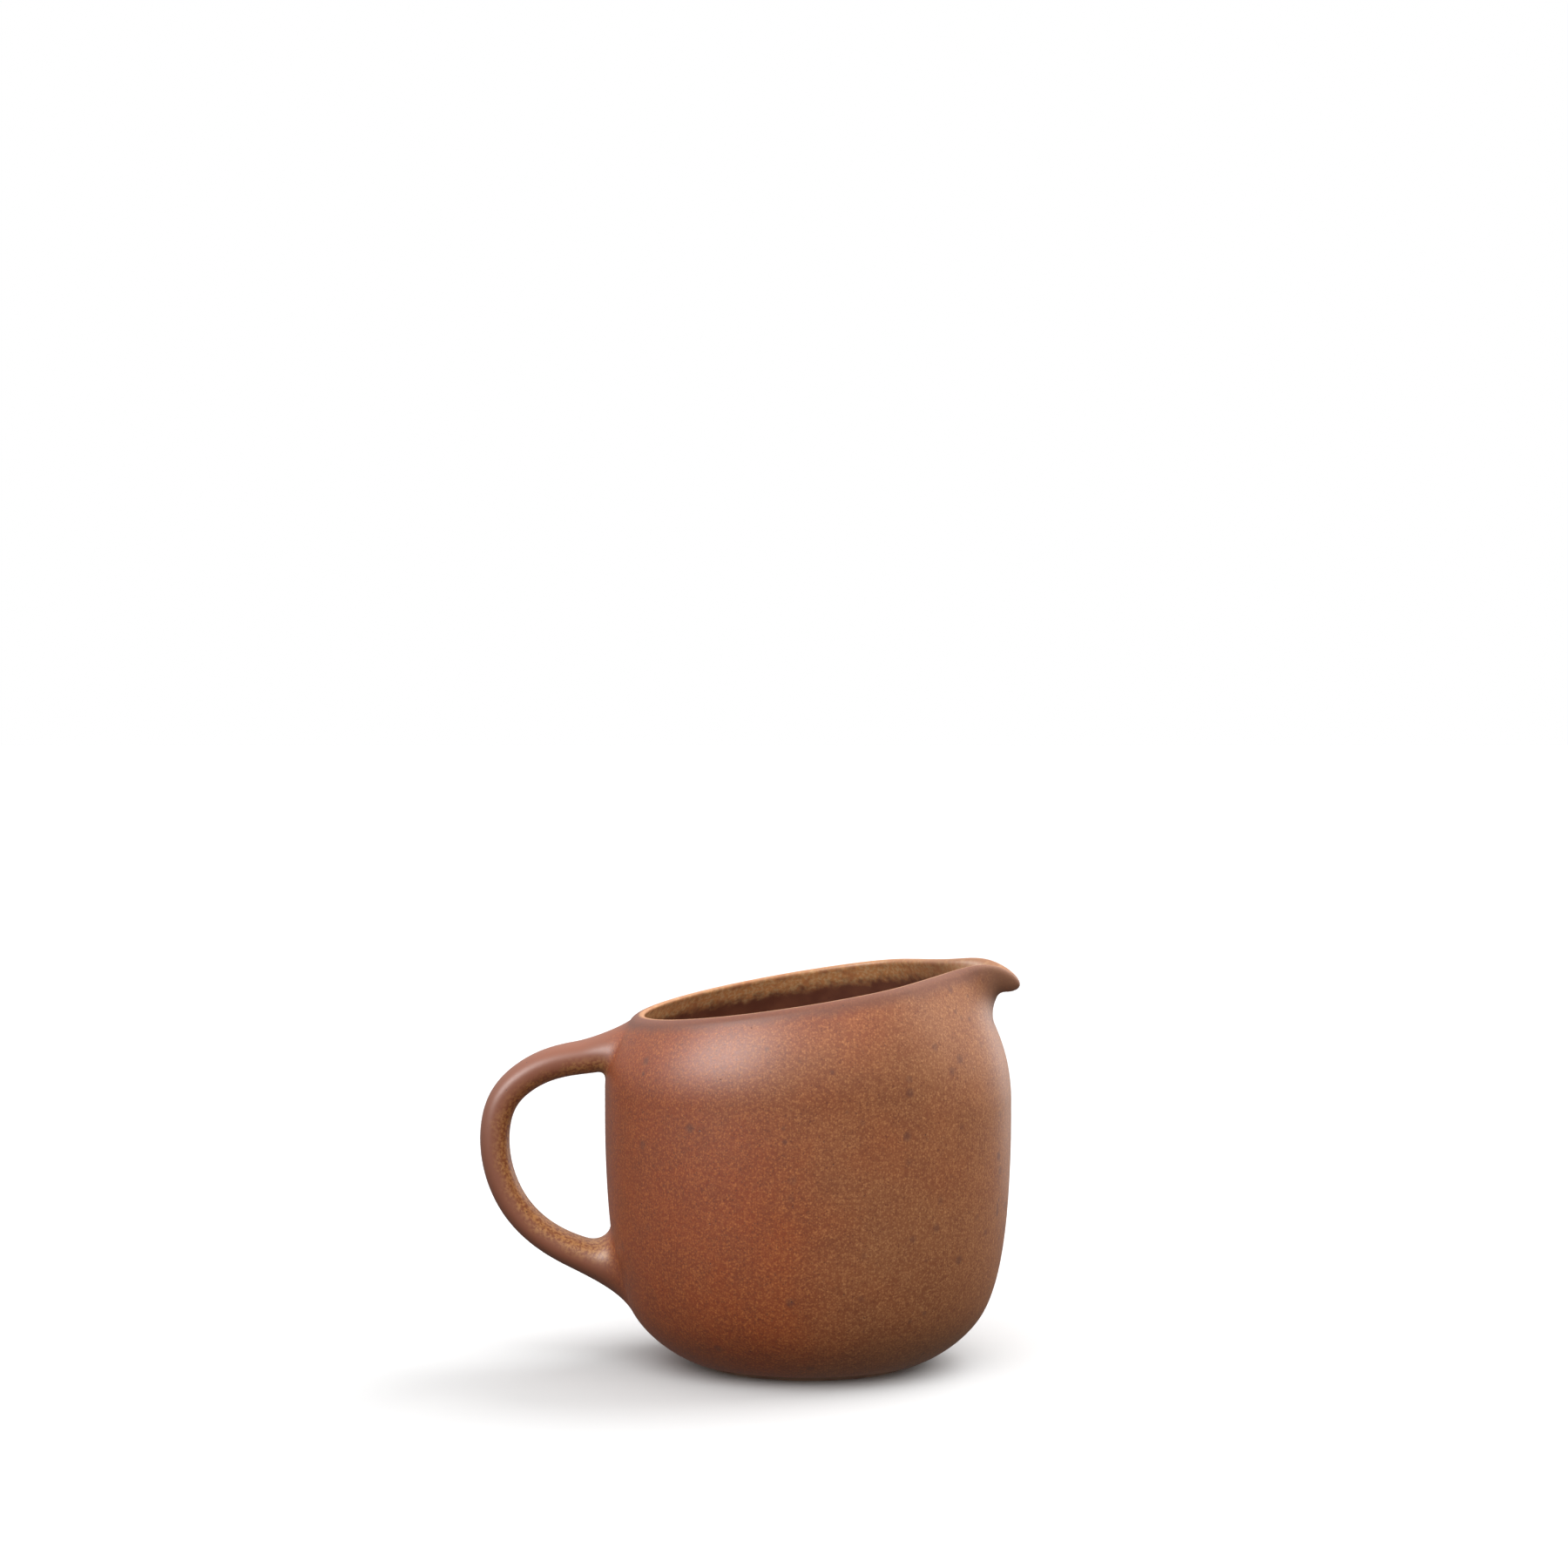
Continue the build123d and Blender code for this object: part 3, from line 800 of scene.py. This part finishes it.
def make_vessel():
    """The clay wall and the two glaze coats on it, as closed shells that meet face to face."""
    rows, crest = glazed_meridian()
    clay_rows = moved_in(rows, GLAZE)
    surface, clay = in_space(rows), in_space(clay_rows)
    normals = grid_normals(surface)
    steps = np.linalg.norm(np.diff(rows, axis=0), axis=-1)
    way = np.concatenate([np.zeros((1, COLUMNS)), np.cumsum(steps, axis=0)])
    from_crest = way[crest][None, :] - way

    bead_middle = (surface[:1] + clay[:1]) / 2 - np.array([0, 0, GLAZE * GLAZE_BEAD])
    outside = np.concatenate([surface[:crest + 1], clay[crest::-1], bead_middle])
    outside_mark = np.concatenate([from_crest[:crest + 1], from_crest[crest::-1], from_crest[:1]])
    new_piece("outside_glaze", "exterior_glaze", outside, True, {"from_crest": outside_mark},
              outer_glaze, normals[:crest + 1])

    inside = np.concatenate([clay[:crest - 1:-1], surface[crest:]])
    inside_mark = np.concatenate([from_crest[:crest - 1:-1], from_crest[crest:]])
    inside_normals = np.concatenate([-normals[:crest - 1:-1], normals[crest:]])
    new_piece("inside_glaze", "interior_glaze", inside, False, {"from_crest": inside_mark},
              inner_glaze, inside_normals)

    # Half the rows will do where the glaze hides the clay.
    hidden = np.concatenate([clay[:-1:2], clay[-1:]])
    vessel = np.concatenate([in_space(foot_rows()), hidden])
    new_piece("vessel_clay", "stoneware_body", vessel, False, {}, bare_clay)


def make_recess_glaze():
    """Glaze in the recess: a thin disc with a rounded edge."""
    reach, rise = RECESS_EDGE
    under = disc(POLE_RADIUS, RECESS_RADIUS - reach, RECESS_DEPTH - GLAZE, DISC_ROWS)
    edge = [(RECESS_RADIUS - reach + reach * np.sin(turn),
             RECESS_DEPTH - GLAZE + rise * (1 - np.cos(turn))) for turn in QUARTER_TURN]
    over = disc(RECESS_RADIUS, POLE_RADIUS, RECESS_DEPTH, DISC_ROWS)
    new_piece("recess_glaze", "base_recess_glaze", in_space(all_round(under + edge + over)),
              False, {"from_crest": FAR_FROM_CREST}, outer_glaze)


def make_handle():
    """The pulled clay strap, the two lutes that join it on, and the glaze over all three."""
    upper = root_blend(UPPER_ROOT, -1)[::-1]
    lower = root_blend(LOWER_ROOT, 1)
    leave, join = by_side(UPPER_ROOT["leave"]), by_side(LOWER_ROOT["leave"])
    strap = strap_rows(leave, join, STRAP_ROWS)
    surface = np.concatenate([upper[:-1], strap, lower[1:]])
    normals = grid_normals(surface)
    clay = surface - GLAZE * normals

    blend = ramp(np.linspace(0, 1, BLEND_ROWS) / COAT_FADE)
    coat = np.concatenate([blend[:-1], np.ones(STRAP_ROWS), blend[-2::-1]])[:, None]
    gap_side = (1 - np.cos(STRAP_ANGLES))[None, :] / 2
    crest_height = RIM_HEIGHT + RIM_SLOPE * surface[..., 0]
    from_crest = (HANDLE_CREST_OFFSET
                  + HANDLE_CREST_STRETCH * (crest_height - CREST_HEIGHT - surface[..., 2]))
    marks = {"coat": np.concatenate([coat, coat[::-1]]),
             "gap_side": gap_side,
             "from_crest": np.concatenate([from_crest, from_crest[::-1]])}
    coat_shell = np.concatenate([surface, clay[::-1]])
    new_piece("handle_coat", "handle_glaze", coat_shell, True, marks, handle_coat,
              np.concatenate([normals, -normals[::-1]]))

    first = np.full(STRAP_COLUMNS, CORE_START)
    last = np.full(STRAP_COLUMNS, HANDLE_LENGTH - CORE_END)
    new_piece("handle_clay", "handle", core_rows(first, last, STRAP_ROWS), False, {},
              bare_clay)

    upper_core = core_rows(leave - LUTE_BEVEL, first + LUTE_STOP, CORE_ROWS)
    upper_root = np.concatenate([clay[:BLEND_ROWS - THIN_ROWS], upper_core])
    new_piece("upper_root_clay", "upper_handle_lute", upper_root, True, {},
              bare_clay)
    lower_core = core_rows(last - LUTE_STOP, join + LUTE_BEVEL, CORE_ROWS)
    lower_root = np.concatenate([clay[THIN_ROWS - BLEND_ROWS:], lower_core])
    new_piece("lower_root_clay", "lower_handle_lute", lower_root, True, {},
              bare_clay)


make_vessel()
make_recess_glaze()
make_handle()


# ---- stage, light and camera ---------------------------------------------------------------
FLOOR_HALF_WIDTH = 3.0
FLOOR_TONE = (0.72, 0.726, 0.73, 1)
FLOOR_GLOW = 0.004       # with the tone, keeps the unshadowed floor as white as the surround
LIT_MIDDLE = Vector((0, 0, 0.045))
SUN_ANGLE = 55.0
SUN_DISTANCE = 1.0
PANEL_DISTANCE = 0.9
SURROUND_TINT = (1.0, 0.99, 0.98, 1)
SURROUND_LOW, SURROUND_HIGH = 0.12, 1.15   # strength of the surround's light below and overhead
SURROUND_FROM, SURROUND_TO = -0.35, 0.9    # sines of the elevations between which it changes
CAMERA_PLACE = (-0.0054, -0.9, 0.180)
CAMERA_TILT = 3.178      # degrees below level
CAMERA_LENS = 92.5
CAMERA_SENSOR = 36.0


def make_floor():
    """Plain white surface that fades into the white surround."""
    half = FLOOR_HALF_WIDTH
    mesh = bpy.data.meshes.new("floor")
    mesh.from_pydata([(-half, -half, 0), (half, -half, 0), (half, half, 0), (-half, half, 0)],
                     [], [(0, 1, 2, 3)])
    s = Shading("floor")
    s.tree.nodes.clear()
    mesh.materials.append(s.emit(s.node("ShaderNodeBsdfPrincipled", {
        "Base Color": FLOOR_TONE,
        "Roughness": 0.9,
        "Specular IOR Level": 0.0,
        "Emission Color": (1, 1, 1, 1),
        "Emission Strength": FLOOR_GLOW,
    }, "BSDF")))
    floor = bpy.data.objects.new("floor", mesh)
    bpy.context.scene.collection.objects.link(floor)
    floor.visible_diffuse = False
    floor.visible_glossy = False


def place_light(light, direction, distance):
    """Put a light at a distance in a direction from the pitcher's middle, facing it."""
    lamp = bpy.data.objects.new(light.name, light)
    way = Vector(direction).normalized()
    lamp.location = LIT_MIDDLE + way * distance
    lamp.rotation_euler = way.to_track_quat("Z", "Y").to_euler()
    bpy.context.scene.collection.objects.link(lamp)
    return lamp


def make_panel(name, direction, width, height, power):
    """Soft rectangular panel that shows only as a sheen on the glaze."""
    light = bpy.data.lights.new(name, "AREA")
    light.shape = "RECTANGLE"
    light.size, light.size_y = width, height
    light.energy = power
    place_light(light, direction, PANEL_DISTANCE).visible_diffuse = False


def make_soft_sun(name, direction, strength):
    """Very broad even light, without a sheen of its own."""
    light = bpy.data.lights.new(name, "SUN")
    light.angle = radians(SUN_ANGLE)
    light.energy = strength
    place_light(light, direction, SUN_DISTANCE).visible_glossy = False


def make_surround():
    """White to the camera; as light, bright overhead and dark below."""
    world = bpy.data.worlds.new("surround")
    world.use_nodes = True
    bpy.context.scene.world = world
    tree = world.node_tree
    tree.nodes.clear()
    place = tree.nodes.new("ShaderNodeTexCoord")
    parts = tree.nodes.new("ShaderNodeSeparateXYZ")
    strength = tree.nodes.new("ShaderNodeMapRange")
    light = tree.nodes.new("ShaderNodeBackground")
    white = tree.nodes.new("ShaderNodeBackground")
    mixer = tree.nodes.new("ShaderNodeMixShader")
    path = tree.nodes.new("ShaderNodeLightPath")
    output = tree.nodes.new("ShaderNodeOutputWorld")
    strength.inputs["From Min"].default_value = SURROUND_FROM
    strength.inputs["From Max"].default_value = SURROUND_TO
    strength.inputs["To Min"].default_value = SURROUND_LOW
    strength.inputs["To Max"].default_value = SURROUND_HIGH
    light.inputs["Color"].default_value = SURROUND_TINT
    white.inputs["Color"].default_value = (1, 1, 1, 1)
    white.inputs["Strength"].default_value = 1.0
    tree.links.new(place.outputs["Generated"], parts.inputs[0])
    tree.links.new(parts.outputs["Z"], strength.inputs["Value"])
    tree.links.new(strength.outputs["Result"], light.inputs["Strength"])
    tree.links.new(path.outputs["Is Camera Ray"], mixer.inputs[0])
    tree.links.new(light.outputs[0], mixer.inputs[1])
    tree.links.new(white.outputs[0], mixer.inputs[2])
    tree.links.new(mixer.outputs[0], output.inputs["Surface"])


def make_camera():
    """Camera in front of the pitcher's side, a little above it, looking slightly down."""
    camera = bpy.data.cameras.new("camera")
    camera.lens = CAMERA_LENS
    camera.sensor_width = CAMERA_SENSOR
    holder = bpy.data.objects.new("camera", camera)
    holder.location = CAMERA_PLACE
    holder.rotation_euler = (radians(90 - CAMERA_TILT), 0, 0)
    bpy.context.scene.collection.objects.link(holder)
    bpy.context.scene.camera = holder


make_floor()
make_surround()
make_soft_sun("key", direction=(-0.12, -0.72, 0.72), strength=1.3)
make_soft_sun("side", direction=(0.66, 0.45, 0.65), strength=2.4)
make_panel("sheen", direction=(-0.71, -0.45, 0.53), width=0.66, height=0.42, power=10.0)
make_panel("edge", direction=(0.62, 0.78, 0.04), width=0.4, height=0.4, power=1.2)
make_camera()
bpy.context.scene.view_settings.view_transform = "Standard"
